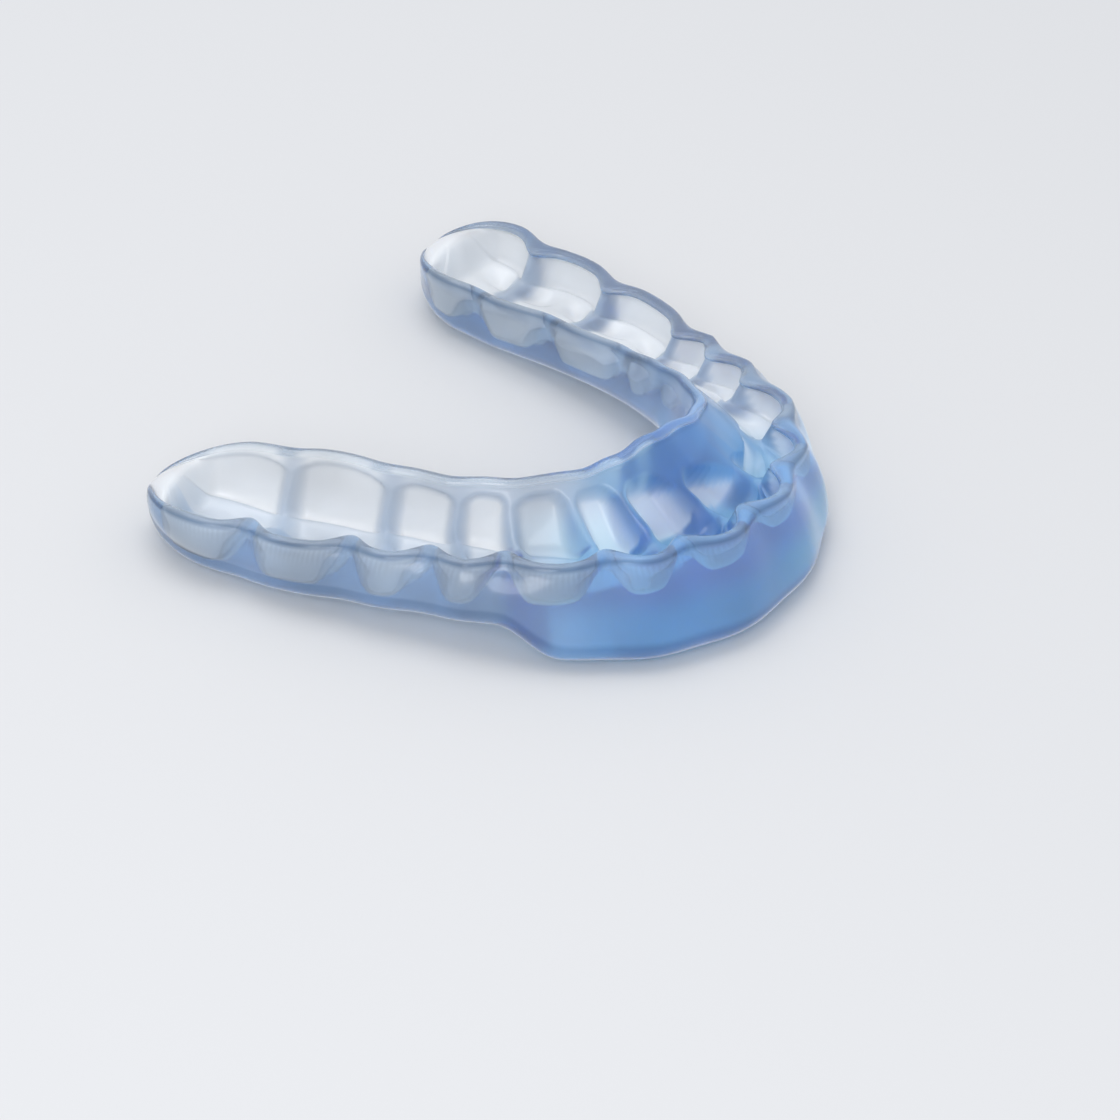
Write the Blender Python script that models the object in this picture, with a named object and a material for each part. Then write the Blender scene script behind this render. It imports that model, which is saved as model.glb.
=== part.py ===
"""Clear dental tray for the upper teeth: one U-shaped shell with a pocket for each tooth
and a deep bite ramp under the front teeth. Metres, +Z up, front towards -Y."""

import math

import bpy
import numpy as np

# Widths of the teeth along the arch, from the midline backwards
RIGHT_TEETH = (0.0072, 0.0065, 0.0082, 0.0063, 0.0069, 0.0092, 0.0089)
LEFT_TEETH = (0.0072, 0.0064, 0.0070, 0.0051, 0.0048, 0.0101, 0.0090, 0.0070)
TEETH_WITH_ONE_EDGE = 3
TEETH_BEFORE_MOLARS = 5
END_WALL = 0.0023

# Arch: the curve that the row of teeth follows, measured from its foremost point at the midline
RIGHT_ARM_LENGTH = sum(RIGHT_TEETH) + END_WALL
LEFT_ARM_LENGTH = sum(LEFT_TEETH) + END_WALL
RIGHT_ARM_HEADING = math.radians(81.1)
LEFT_ARM_HEADING = math.radians(88.0)
RIGHT_TURN_TIGHTNESS = 2.55
LEFT_TURN_TIGHTNESS = 1.97

# Zones along the arch: right end, molar, premolar, canine, midline, canine, premolar, molar, left end
LINGUAL_RIM_OUT = (0.0055, 0.0063, 0.0062, 0.0081, 0.0076, 0.0049, 0.0060, 0.0069, 0.0078)
LINGUAL_FOOT_OUT = (0.0056, 0.0057, 0.0056, 0.0064, 0.0066, 0.0058, 0.0059, 0.0065, 0.0070)
BUCCAL_RIM_OUT = (0.0060, 0.0054, 0.0050, 0.0050, 0.0050, 0.0060, 0.0048, 0.0063, 0.0062)
BUCCAL_BULGE_OUT = (0.0045, 0.0053, 0.0057, 0.0076, 0.0081, 0.0084, 0.0056, 0.0066, 0.0066)
LINGUAL_RIM_HEIGHT = (0.0064, 0.0090, 0.0084, 0.0078, 0.0094, 0.0079, 0.0067, 0.0066, 0.0066)
BUCCAL_RIM_HEIGHT = (0.0064, 0.0063, 0.0064, 0.0062, 0.0056, 0.0056, 0.0058, 0.0062, 0.0072)
LINGUAL_WALL_SLOPE_RUN = (0.0012, 0.0014, 0.0016, 0.0054, 0.0080, 0.0056, 0.0024, 0.0016, 0.0014)
LINGUAL_WALL_BOW = (0.0012, 0.0012, 0.0012, 0.0014, 0.0016, 0.0006, 0.0010, 0.0012, 0.0012)
BUCCAL_WALL_SLOPE_RUN = (0.0008, 0.0006, 0.0005, 0.0004, 0.0006, 0.0002, 0.0003, 0.0005, 0.0006)

# Shell
RIM_THICKNESS = 0.0013
OUTER_BUCCAL_BOW = 0.0004
BUCCAL_WALL_BOW = 0.0010
WALL_BOW_FLATNESS = 6
THINNEST_WALL = 0.0006
FLOOR_THICKNESS = 0.0016
CORNER_RADIUS = 0.0022
END_ROUNDING = 0.0080
END_SLOPE = 0.0024
END_HEIGHT_ROUNDING = 0.95
TIP_HEIGHT_SHARE = 0.57

# Tooth pockets
SEPTUM_REACH = (0.0015, 0.0015, 0.0015, 0.0020, 0.0026, 0.0028, 0.0015, 0.0015, 0.0015)
SEPTUM_SHIFT_AT_FLOOR = (0.0, 0.0016, 0.0028, 0.0003, -0.0014, 0.0, 0.0, 0.0, 0.0)
SEPTUM_SHIFT_AT_RIM = (0.0, 0.0008, 0.0012, -0.0022, -0.0030, 0.0, 0.0, 0.0, 0.0)
SHIFT_FULL_ACROSS = 0.5
SEPTUM_HEIGHT = 0.0015
SEPTUM_ON_BUCCAL_WALL = 0.0007
SEPTUM_ON_LINGUAL_WALL = 0.0009
NARROWEST_FLOOR = 0.0003
CROWN_BELOW_RIM = (0.0002, 0.0002, 0.0007, 0.0014, 0.0036, 0.0055, 0.0014, 0.0003, 0.0003)
CROWN_MARGIN_REACH = 0.0007
CROWN_MARGIN_ARCH = 0.0016
SCALLOP_INSIDE = 0.0011
SCALLOP_ON_BUCCAL_RIM = 0.0009
SCALLOP_ON_BUCCAL_BULGE = 0.0003
SCALLOP_OUTSIDE_REACH = 0.0022
SCALLOP_REACH = 0.0014
LINGUAL_FLUTE = 0.0003
CUSP_RIDGE = 0.0010
MOLAR_CROSS_RIDGE = 0.65
EDGE_GROOVE = 0.0007

# Rest: the ramp and the arms' ends stand on the same plane
RAMP_DEPTH = 0.0040
RIGHT_RAMP_LENGTH = 0.0195
LEFT_RAMP_LENGTH = 0.0190
RAMP_STEP = 0.0026
ARM_PAD_LENGTH = 0.0120

# Spacing of the lofted sections
ARCH_STEP = 0.0002
CLOSEST_STATIONS = 0.0003
SEPTUM_STATIONS = (0.0, 0.0005, 0.0012)
MIDDLE_STATIONS = 3
MOLAR_MIDDLE_STATIONS = 4
END_SLOPE_STATIONS = 3
RAMP_STATIONS = (-1.0, -0.5, 0.0, 0.5, 1.0)
END_STATIONS = 5
LAST_STATION_ANGLE = math.radians(85.0)
WALL_POINTS = 4
LINGUAL_POINTS = 6
RIM_POINTS = 4
CORNER_POINTS = 3
UNDERSIDE_POINTS = 3
FLOOR_POINTS = 7

RESIN_COLOUR = (0.45, 0.60, 0.85, 1.0)
RESIN_ROUGHNESS = 0.25


def clamp(value, low, high):
    return max(low, min(high, value))


def smooth(value):
    """Ease from 0 to 1 as the value goes from 0 to 1."""
    value = clamp(value, 0.0, 1.0)
    return value * value * (3.0 - 2.0 * value)


def mix(first, second, share):
    return first + (second - first) * share


def zone_value(values, s):
    """Smooth curve through the zone values, with the middle zone at the foremost point."""
    row = (2.0 * values[0] - values[1],) + values + (2.0 * values[-1] - values[-2],)
    arm = RIGHT_ARM_LENGTH if s < 0.0 else LEFT_ARM_LENGTH
    place = clamp(0.5 + 0.5 * s / arm, 0.0, 1.0) * (len(values) - 1)
    index = min(int(place), len(values) - 2)
    part = place - index
    a, b, c, d = row[index:index + 4]
    return b + 0.5 * part * (c - a + part * (2 * a - 5 * b + 4 * c - d + part * (3 * (b - c) + d - a)))


class Arch:
    """Plan curve of the row of teeth, with its outward direction."""

    def __init__(self):
        count = int(round((RIGHT_ARM_LENGTH + LEFT_ARM_LENGTH) / ARCH_STEP)) + 1
        self.along = np.linspace(-RIGHT_ARM_LENGTH, LEFT_ARM_LENGTH, count)
        heading = [self.heading(s) for s in self.along]
        step = self.along[1] - self.along[0]
        self.x = self.running_sum(np.cos(heading), step)
        self.y = self.running_sum(np.sin(heading), step)
        self.right_reach = self.y[0]
        self.left_reach = self.y[-1]

    def heading(self, s):
        if s < 0.0:
            turn = math.tanh(RIGHT_TURN_TIGHTNESS * s / RIGHT_ARM_LENGTH)
            return RIGHT_ARM_HEADING * turn / math.tanh(RIGHT_TURN_TIGHTNESS)
        turn = math.tanh(LEFT_TURN_TIGHTNESS * s / LEFT_ARM_LENGTH)
        return LEFT_ARM_HEADING * turn / math.tanh(LEFT_TURN_TIGHTNESS)

    def running_sum(self, slopes, step):
        steps = (slopes[1:] + slopes[:-1]) * 0.5 * step
        total = np.concatenate(([0.0], np.cumsum(steps)))
        return total - np.interp(0.0, self.along, total)

    def point(self, s, outward, up):
        heading = self.heading(s)
        x = np.interp(s, self.along, self.x) + outward * math.sin(heading)
        y = np.interp(s, self.along, self.y) - outward * math.cos(heading)
        return (float(x), float(y), up)

    def base_height(self, s):
        """Height of the arms' underside, which falls from the front to the resting pads."""
        reach = self.right_reach if s < 0.0 else self.left_reach
        y = float(np.interp(s, self.along, self.y))
        return RAMP_DEPTH * clamp(1.0 - y / (reach - ARM_PAD_LENGTH), 0.0, 1.0)


def tooth_edges():
    """Start and end of each tooth along the arch, with its number from the midline."""
    edges = []
    for side, widths in ((-1, RIGHT_TEETH), (1, LEFT_TEETH)):
        start = 0.0
        for number, width in enumerate(widths[:-1]):
            edges.append((start, start + side * width, number))
            start += side * width
        edges.append((start, start + side * (widths[-1] + END_WALL), len(widths) - 1))
    return edges


def tooth_at(teeth, s):
    """Distance to the nearer septum, position from -1 to 1 across the tooth, and its number."""
    beyond = [abs(s - 0.5 * (start + end)) - 0.5 * abs(end - start) for start, end, number in teeth]
    start, end, number = teeth[beyond.index(min(beyond))]
    half = 0.5 * abs(end - start)
    across = clamp((s - 0.5 * (start + end)) / half, -1.0, 1.0)
    return half * (1.0 - abs(across)), across, number


def bent(start, end, push, count, flatness=2):
    """Points after start up to end on a line bowed sideways by push."""
    points = []
    length = math.hypot(end[0] - start[0], end[1] - start[1])
    side = ((end[1] - start[1]) / length, -(end[0] - start[0]) / length)
    for index in range(1, count + 1):
        share = index / count
        bow = push * (1.0 - abs(2.0 * share - 1.0) ** flatness)
        out, up = mix(start[0], end[0], share), mix(start[1], end[1], share)
        points.append((out + side[0] * bow, up + side[1] * bow))
    return points


def rounded(centre, radii, start, end, count):
    """Points of an elliptical arc after its start, angles in degrees."""
    points = []
    for index in range(1, count + 1):
        angle = math.radians(mix(start, end, index / count))
        points.append((centre[0] + radii[0] * math.cos(angle), centre[1] + radii[1] * math.sin(angle)))
    return points


def floor_profile(share, across, number):
    """Height of the biting imprint above the pocket floor, share running from cheek to tongue."""
    if number < TEETH_WITH_ONE_EDGE:
        return EDGE_GROOVE * (2.0 * share - 1.0) ** 2
    pits = math.sin(2.0 * math.pi * share) ** 2
    if number >= TEETH_BEFORE_MOLARS:
        pits *= 1.0 - MOLAR_CROSS_RIDGE * math.cos(math.pi * across) ** 2
    return CUSP_RIDGE * (1.0 - pits)


def profile(buccal_edge, cheek, tongue, lingual_edge, buccal_bow, lingual_bow):
    """Inner surface: down the buccal wall, over the floor and up the lingual wall."""
    points = bent(buccal_edge, cheek, buccal_bow, WALL_POINTS, WALL_BOW_FLATNESS)
    points += bent(cheek, tongue, 0.0, FLOOR_POINTS)
    points += bent(tongue, lingual_edge, lingual_bow, LINGUAL_POINTS, WALL_BOW_FLATNESS)
    return points


def imprint_profile(arch, s, buccal_edge, lingual_edge):
    """Inner surface at a tooth: deep, with walls bowed outwards."""
    floor = arch.base_height(s) + FLOOR_THICKNESS
    cheek = (buccal_edge[0] - zone_value(BUCCAL_WALL_SLOPE_RUN, s), floor)
    tongue = (lingual_edge[0] + zone_value(LINGUAL_WALL_SLOPE_RUN, s), floor)
    lingual_bow = -zone_value(LINGUAL_WALL_BOW, s)
    return profile(buccal_edge, cheek, tongue, lingual_edge, -BUCCAL_WALL_BOW, lingual_bow)


def septum_profile(imprint, buccal_edge, lingual_edge):
    """Inner surface between two teeth: a shallower and narrower trough."""
    cheek, tongue = imprint[WALL_POINTS - 1], imprint[WALL_POINTS + FLOOR_POINTS - 1]
    floor = cheek[1] + SEPTUM_HEIGHT
    buccal_share = SEPTUM_HEIGHT / (buccal_edge[1] - cheek[1])
    lingual_share = SEPTUM_HEIGHT / (lingual_edge[1] - tongue[1])
    cheek_out = mix(cheek[0], buccal_edge[0], buccal_share) - SEPTUM_ON_BUCCAL_WALL
    tongue_out = mix(tongue[0], lingual_edge[0], lingual_share) + SEPTUM_ON_LINGUAL_WALL
    middle = 0.5 * (cheek_out + tongue_out)
    cheek_out = max(cheek_out, middle + NARROWEST_FLOOR)
    tongue_out = min(tongue_out, middle - NARROWEST_FLOOR)
    return profile(buccal_edge, (cheek_out, floor), (tongue_out, floor), lingual_edge, 0.0, 0.0)


def septum_shift(s, point, buccal_edge, lingual_edge):
    """How far a septum is displaced along the arch: nothing at the cheek, most on the lingual wall."""
    across = clamp((buccal_edge[0] - point[0]) / (buccal_edge[0] - lingual_edge[0]), 0.0, 1.0)
    up_wall = clamp(across / SHIFT_FULL_ACROSS - 1.0, 0.0, 1.0)
    shift = mix(zone_value(SEPTUM_SHIFT_AT_FLOOR, s), zone_value(SEPTUM_SHIFT_AT_RIM, s), up_wall)
    return shift * smooth(across / SHIFT_FULL_ACROSS)


def relief(teeth, s, point, buccal_edge, lingual_edge):
    """Share of the septum profile at a point, with its place across the tooth and the tooth's number."""
    septum_distance, across, number = tooth_at(teeth, s - septum_shift(s, point, buccal_edge, lingual_edge))
    margin = lingual_edge[1] - zone_value(CROWN_BELOW_RIM, s) - CROWN_MARGIN_ARCH * abs(across) ** 3
    below_margin = smooth((margin - point[1]) / CROWN_MARGIN_REACH)
    if point[0] > 0.5 * (lingual_edge[0] + buccal_edge[0]):
        below_margin = 1.0
    return 1.0 - smooth(septum_distance / zone_value(SEPTUM_REACH, s)) * below_margin, across, number


def pocket(arch, teeth, s, lingual_edge, buccal_edge):
    """Inner surface with the imprint of the teeth, from the buccal rim to the lingual rim."""
    imprint = imprint_profile(arch, s, buccal_edge, lingual_edge)
    septum = septum_profile(imprint, buccal_edge, lingual_edge)
    points = []
    for index, (deep, high) in enumerate(zip(imprint, septum)):
        share, across, number = relief(teeth, s, deep, buccal_edge, lingual_edge)
        out = mix(deep[0], high[0], share)
        up = mix(deep[1], high[1], share)
        if WALL_POINTS - 1 <= index < WALL_POINTS + FLOOR_POINTS:
            place = (index + 1 - WALL_POINTS) / FLOOR_POINTS
            up += (1.0 - share) * floor_profile(place, across, number)
        points.append((out, up))
    return closed_towards_end(points, buccal_edge, lingual_edge, s)


def kept_thick(points, rim, foot):
    """The inner surface, held off the line of the outside on the lingual side."""
    result = []
    for out, up in points:
        share = clamp((rim[1] - up) / (rim[1] - foot[1]), 0.0, 1.0)
        result.append((max(out, mix(rim[0], foot[0], share) + THINNEST_WALL), up))
    return result


def closed_towards_end(points, buccal_edge, lingual_edge, s):
    """The pocket's surface, raised to the rims' level behind the last tooth."""
    opening = smooth((from_tip(s) - END_WALL) / END_SLOPE)
    result = []
    for index, point in enumerate(points):
        place = (index + 1) / len(points)
        crown = 0.5 * RIM_THICKNESS * (1.0 - (2.0 * place - 1.0) ** 4)
        lid_out = mix(buccal_edge[0], lingual_edge[0], place)
        lid_up = mix(buccal_edge[1], lingual_edge[1], place) + crown
        result.append((mix(lid_out, point[0], opening), mix(lid_up, point[1], opening)))
    return result


def from_tip(s):
    """Distance along the arch to the nearer arm's tip."""
    return s + RIGHT_ARM_LENGTH if s < 0.0 else LEFT_ARM_LENGTH - s


def rounded_off(points, s, middle_out, middle_up):
    """The outline, drawn in towards its middle where the arm's end rounds off."""
    share = clamp(from_tip(s) / END_ROUNDING, 0.0, 1.0)
    width = math.sqrt(1.0 - (1.0 - share) ** 2)
    height = mix(1.0, width, END_HEIGHT_ROUNDING)
    return [(mix(middle_out, out, width), mix(middle_up, up, height)) for out, up in points]


def section(arch, teeth, s):
    """Closed outline across the arch: outward and up, from the lingual rim down and round."""
    septum_distance = tooth_at(teeth, s)[0]
    lobe = 1.0 - math.exp(-(septum_distance / SCALLOP_OUTSIDE_REACH) ** 2)
    base = arch.base_height(s)
    ramp_length = RIGHT_RAMP_LENGTH if s < 0.0 else LEFT_RAMP_LENGTH
    ramp = smooth(0.5 + 0.5 * (ramp_length - abs(s)) / RAMP_STEP)
    underside = base * (1.0 - ramp)
    lingual_top = base + zone_value(LINGUAL_RIM_HEIGHT, s)
    buccal_top = base + zone_value(BUCCAL_RIM_HEIGHT, s)
    lingual_rim = -zone_value(LINGUAL_RIM_OUT, s) - LINGUAL_FLUTE * lobe
    lingual_foot = -zone_value(LINGUAL_FOOT_OUT, s)
    buccal_rim = zone_value(BUCCAL_RIM_OUT, s) + SCALLOP_ON_BUCCAL_RIM * (lobe - 1.0)
    buccal_bulge = zone_value(BUCCAL_BULGE_OUT, s) + SCALLOP_ON_BUCCAL_BULGE * (lobe - 1.0)
    rim = 0.5 * RIM_THICKNESS
    start = (lingual_rim, lingual_top - rim)
    foot = (lingual_foot, underside + CORNER_RADIUS)
    points = bent(start, foot, 0.0, WALL_POINTS)
    points += rounded((lingual_foot + CORNER_RADIUS, underside + CORNER_RADIUS),
                      (CORNER_RADIUS, CORNER_RADIUS), 180.0, 270.0, CORNER_POINTS)
    corner = (buccal_bulge - CORNER_RADIUS, underside + CORNER_RADIUS)
    points += bent(points[-1], (corner[0], underside), 0.0, UNDERSIDE_POINTS)
    points += rounded(corner, (CORNER_RADIUS, CORNER_RADIUS), 270.0, 360.0, CORNER_POINTS)
    points += bent(points[-1], (buccal_rim, buccal_top - rim), OUTER_BUCCAL_BOW, WALL_POINTS)
    inset = SCALLOP_INSIDE * math.exp(-(septum_distance / SCALLOP_REACH) ** 2)
    buccal_width = RIM_THICKNESS + inset
    points += rounded((buccal_rim - 0.5 * buccal_width, buccal_top - rim),
                      (0.5 * buccal_width, rim), 0.0, 180.0, RIM_POINTS)
    buccal_edge = points[-1]
    lingual_edge = (lingual_rim + RIM_THICKNESS, lingual_top - rim)
    points += kept_thick(pocket(arch, teeth, s, lingual_edge, buccal_edge), start, foot)
    points += rounded((lingual_rim + rim, lingual_top - rim), (rim, rim), 0.0, 180.0, RIM_POINTS)
    middle_out = 0.5 * (lingual_foot + buccal_bulge)
    middle_up = mix(underside, buccal_top, TIP_HEIGHT_SHARE)
    return rounded_off(points, s, middle_out, middle_up)


def stations(teeth):
    """Places of the sections along the arch: close together at each septum and at the ends."""
    places = []
    for start, end, number in teeth:
        side = 1.0 if end > start else -1.0
        width = abs(end - start)
        inner = SEPTUM_STATIONS[-1]
        middle = MOLAR_MIDDLE_STATIONS if number >= TEETH_BEFORE_MOLARS else MIDDLE_STATIONS
        for step in SEPTUM_STATIONS:
            places += [start + side * step, end - side * step]
        for index in range(1, middle + 1):
            places.append(start + side * mix(inner, width - inner, index / (middle + 1)))
    for side, length in ((-1.0, RIGHT_RAMP_LENGTH), (1.0, LEFT_RAMP_LENGTH)):
        places += [side * (length - RAMP_STEP * share) for share in RAMP_STATIONS]
    last_wall = END_WALL + END_SLOPE
    places = [s for s in places if from_tip(s) > last_wall + SEPTUM_STATIONS[1]]
    for index in range(END_SLOPE_STATIONS + 1):
        places += at_both_ends(mix(last_wall, END_WALL, index / END_SLOPE_STATIONS))
    for index in range(1, END_STATIONS + 1):
        angle = LAST_STATION_ANGLE * index / END_STATIONS
        places += at_both_ends(END_WALL * (1.0 - math.sin(angle)))
    return spaced(sorted(places))


def spaced(places):
    """The sorted places without those that nearly repeat the one before."""
    kept = [places[0]]
    for place in places[1:]:
        if place - kept[-1] > CLOSEST_STATIONS * kept_apart(place):
            kept.append(place)
    return kept


def kept_apart(place):
    """Sections may stand closer at the arms' tips, where the outline rounds off."""
    return clamp(from_tip(place) / END_WALL, 0.0, 1.0)


def at_both_ends(distance):
    return [distance - RIGHT_ARM_LENGTH, LEFT_ARM_LENGTH - distance]


def loft(rings):
    """Vertices and faces of a closed body through the rings, capped at both ends."""
    count = len(rings[0])
    vertices = [point for ring in rings for point in ring]
    faces = []
    for row in range(len(rings) - 1):
        for column in range(count):
            following = (column + 1) % count
            faces.append((row * count + column, (row + 1) * count + column,
                          (row + 1) * count + following, row * count + following))
    for row, turn in ((0, -1), (len(rings) - 1, 1)):
        ring = rings[row]
        centre = tuple(sum(point[axis] for point in ring) / count for axis in range(3))
        hub = len(vertices)
        vertices.append(centre)
        for column in range(count):
            pair = (row * count + column, row * count + (column + 1) % count)
            faces.append((hub,) + pair[::-turn])
    return vertices, faces


def centred(vertices):
    """Vertices moved so that the body stands on the origin, centred left to right and front to back."""
    low = [min(point[axis] for point in vertices) for axis in range(3)]
    high = [max(point[axis] for point in vertices) for axis in range(3)]
    shift = (-0.5 * (low[0] + high[0]), -0.5 * (low[1] + high[1]), -low[2])
    return [tuple(point[axis] + shift[axis] for axis in range(3)) for point in vertices]


def resin():
    """Pale blue translucent resin."""
    material = bpy.data.materials.new("resin")
    material.use_nodes = True
    shader = material.node_tree.nodes["Principled BSDF"]
    shader.inputs["Base Color"].default_value = RESIN_COLOUR
    shader.inputs["Roughness"].default_value = RESIN_ROUGHNESS
    shader.inputs["Metallic"].default_value = 0.0
    return material


def aligner():
    arch = Arch()
    teeth = tooth_edges()
    rings = []
    for s in stations(teeth):
        rings.append([arch.point(s, out, up) for out, up in section(arch, teeth, s)])
    vertices, faces = loft(rings)
    mesh = bpy.data.meshes.new("aligner")
    mesh.from_pydata(centred(vertices), [], faces)
    mesh.materials.append(resin())
    mesh.shade_smooth()
    body = bpy.data.objects.new("aligner", mesh)
    bpy.context.scene.collection.objects.link(body)
    return body


for leftover in list(bpy.data.objects):
    bpy.data.objects.remove(leftover, do_unlink=True)

aligner()
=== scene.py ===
import math

import bpy
import numpy as np
from mathutils import Matrix, Vector


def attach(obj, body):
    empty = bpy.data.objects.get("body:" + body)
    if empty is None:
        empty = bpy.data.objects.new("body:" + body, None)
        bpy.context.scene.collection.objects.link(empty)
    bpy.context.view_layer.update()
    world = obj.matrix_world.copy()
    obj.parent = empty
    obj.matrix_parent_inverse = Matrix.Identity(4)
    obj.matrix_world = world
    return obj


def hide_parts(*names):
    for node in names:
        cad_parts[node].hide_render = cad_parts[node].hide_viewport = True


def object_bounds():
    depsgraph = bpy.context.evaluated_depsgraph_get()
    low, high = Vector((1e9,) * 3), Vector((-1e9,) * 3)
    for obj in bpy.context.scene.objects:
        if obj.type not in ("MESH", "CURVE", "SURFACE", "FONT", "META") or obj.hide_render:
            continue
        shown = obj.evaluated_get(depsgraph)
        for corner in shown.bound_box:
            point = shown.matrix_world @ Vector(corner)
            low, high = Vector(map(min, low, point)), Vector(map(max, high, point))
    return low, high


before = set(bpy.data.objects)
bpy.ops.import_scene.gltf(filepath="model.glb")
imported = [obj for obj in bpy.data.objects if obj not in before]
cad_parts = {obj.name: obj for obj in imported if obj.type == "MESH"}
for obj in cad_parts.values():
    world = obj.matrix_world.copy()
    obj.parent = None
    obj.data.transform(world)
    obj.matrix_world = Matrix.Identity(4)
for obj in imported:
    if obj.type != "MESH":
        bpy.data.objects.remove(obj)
cad_low, cad_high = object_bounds()

# Widths of the teeth along the arch, from the midline backwards
RIGHT_TEETH = (0.0072, 0.0065, 0.0082, 0.0063, 0.0069, 0.0092, 0.0089)
LEFT_TEETH = (0.0072, 0.0064, 0.0070, 0.0051, 0.0048, 0.0101, 0.0090, 0.0070)
TEETH_WITH_ONE_EDGE = 3
TEETH_BEFORE_MOLARS = 5
END_WALL = 0.0023

# Arch: the curve that the row of teeth follows, measured from its foremost point at the midline
RIGHT_ARM_LENGTH = sum(RIGHT_TEETH) + END_WALL
LEFT_ARM_LENGTH = sum(LEFT_TEETH) + END_WALL
RIGHT_ARM_HEADING = math.radians(81.1)
LEFT_ARM_HEADING = math.radians(88.0)
RIGHT_TURN_TIGHTNESS = 2.55
LEFT_TURN_TIGHTNESS = 1.97

# Every row of nine values here and below runs from one end of the arch to the other:
# right end, molar, premolar, canine, midline, canine, premolar, molar and left end
LINGUAL_RIM_OUT = (0.0055, 0.0063, 0.0062, 0.0081, 0.0076, 0.0049, 0.0060, 0.0069, 0.0078)
LINGUAL_FOOT_OUT = (0.0056, 0.0057, 0.0056, 0.0064, 0.0066, 0.0058, 0.0059, 0.0065, 0.0070)
BUCCAL_RIM_OUT = (0.0060, 0.0054, 0.0050, 0.0050, 0.0050, 0.0060, 0.0048, 0.0063, 0.0062)
BUCCAL_BULGE_OUT = (0.0045, 0.0053, 0.0057, 0.0076, 0.0081, 0.0084, 0.0056, 0.0066, 0.0066)
LINGUAL_RIM_HEIGHT = (0.0064, 0.0090, 0.0084, 0.0078, 0.0094, 0.0079, 0.0067, 0.0066, 0.0066)
BUCCAL_RIM_HEIGHT = (0.0064, 0.0063, 0.0064, 0.0062, 0.0056, 0.0056, 0.0058, 0.0062, 0.0072)
LINGUAL_WALL_SLOPE_RUN = (0.0012, 0.0014, 0.0016, 0.0054, 0.0080, 0.0056, 0.0024, 0.0016, 0.0014)
LINGUAL_WALL_BOW = (0.0012, 0.0012, 0.0012, 0.0014, 0.0016, 0.0006, 0.0010, 0.0012, 0.0012)
BUCCAL_WALL_SLOPE_RUN = (0.0008, 0.0006, 0.0005, 0.0004, 0.0006, 0.0002, 0.0003, 0.0005, 0.0006)

# Shell
RIM_THICKNESS = 0.0013
OUTER_BUCCAL_BOW = 0.0004
BUCCAL_WALL_BOW = 0.0010
WALL_BOW_FLATNESS = 6
THINNEST_WALL = 0.0006
FLOOR_THICKNESS = 0.0016
CORNER_RADIUS = 0.0022
END_ROUNDING = 0.0080
END_SLOPE = 0.0024
END_HEIGHT_ROUNDING = 0.95
END_LID_FLATNESS = 4
TIP_HEIGHT_SHARE = 0.57

# Tooth pockets
SEPTUM_REACH = (0.0015, 0.0015, 0.0015, 0.0020, 0.0026, 0.0028, 0.0015, 0.0015, 0.0015)
CHEEK_FOOT_REACH = (0.0026, 0.0030, 0.0028, 0.0026, 0.0026, 0.0026, 0.0018, 0.0018, 0.0018)
CHEEK_RIM_REACH = (0.0010, 0.0010, 0.0009, 0.0008, 0.0008, 0.0010, 0.0012, 0.0012, 0.0012)
TONGUE_FOOT_REACH = (0.0015, 0.0015, 0.0015, 0.0020, 0.0026, 0.0028, 0.0026, 0.0032, 0.0032)
SEPTUM_SHIFT_AT_FLOOR = (0.0, 0.0016, 0.0028, 0.0003, -0.0014, 0.0, 0.0, 0.0, 0.0)
SEPTUM_SHIFT_AT_RIM = (0.0, 0.0008, 0.0012, -0.0022, -0.0030, 0.0, 0.0, 0.0, 0.0)
SHIFT_FULL_ACROSS = 0.5
SEPTUM_HEIGHT = 0.0015
SEPTUM_ON_BUCCAL_WALL = 0.0007
SEPTUM_ON_LINGUAL_WALL = 0.0009
NARROWEST_FLOOR = 0.0003
CROWN_BELOW_RIM = (0.0002, 0.0002, 0.0007, 0.0014, 0.0036, 0.0055, 0.0014, 0.0003, 0.0003)
CROWN_MARGIN_REACH = 0.0007
CROWN_MARGIN_ARCH = 0.0016
CROWN_MARGIN_FLATNESS = 3
SCALLOP_INSIDE = 0.0011
SCALLOP_ON_BUCCAL_RIM = 0.0009
SCALLOP_ON_BUCCAL_BULGE = 0.0003
SCALLOP_OUTSIDE_REACH = 0.0022
SCALLOP_REACH = 0.0014
LINGUAL_FLUTE = 0.0003
CUSP_RIDGE = 0.0010
MOLAR_CROSS_RIDGE = 0.65
EDGE_GROOVE = 0.0007

# Rest: the ramp and the arms' ends stand on the same plane
RAMP_DEPTH = 0.0040
RIGHT_RAMP_LENGTH = 0.0195
LEFT_RAMP_LENGTH = 0.0190
RAMP_STEP = 0.0026
ARM_PAD_LENGTH = 0.0120

# Fineness of the mesh
ARCH_STEP = 0.0002
RING_STEP = 0.0003
END_RINGS = 10
LAST_RING_ANGLE = math.radians(85.0)
WALL_POINTS = 12
LINGUAL_POINTS = 22
RIM_POINTS = 10
CORNER_POINTS = 8
UNDERSIDE_POINTS = 6
FLOOR_POINTS = 18

# Tones: shares from 0 to 1, kept at each point of the mesh, and the place along the arch; crown
# holds painted light, septum and line hold painted shade
SECTION_TONES = ("crown", "septum", "line", "lining", "striae")
ARCH_TONES = ("shoulder", "front", "along")
NO_TONES = (0.0,) * len(SECTION_TONES)

# Painted light: pale imprint of each tooth on the tongue wall, from the midline backwards, and
# painted shade between the teeth
CROWN_PAINTED_LIGHT = (0.8, 0.75, 0.35, 1.0, 1.0, 1.0, 1.0, 1.0)
CROWN_PAINTED_LIGHT_REACH = 0.0016
CROWN_PAINTED_LIGHT_MARGIN = 0.0010
TONGUE_PAINTED_SHADE_BETWEEN = (0.4, 0.5, 0.9, 0.8, 1.0, 1.0, 1.0, 1.0, 1.0)
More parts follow.
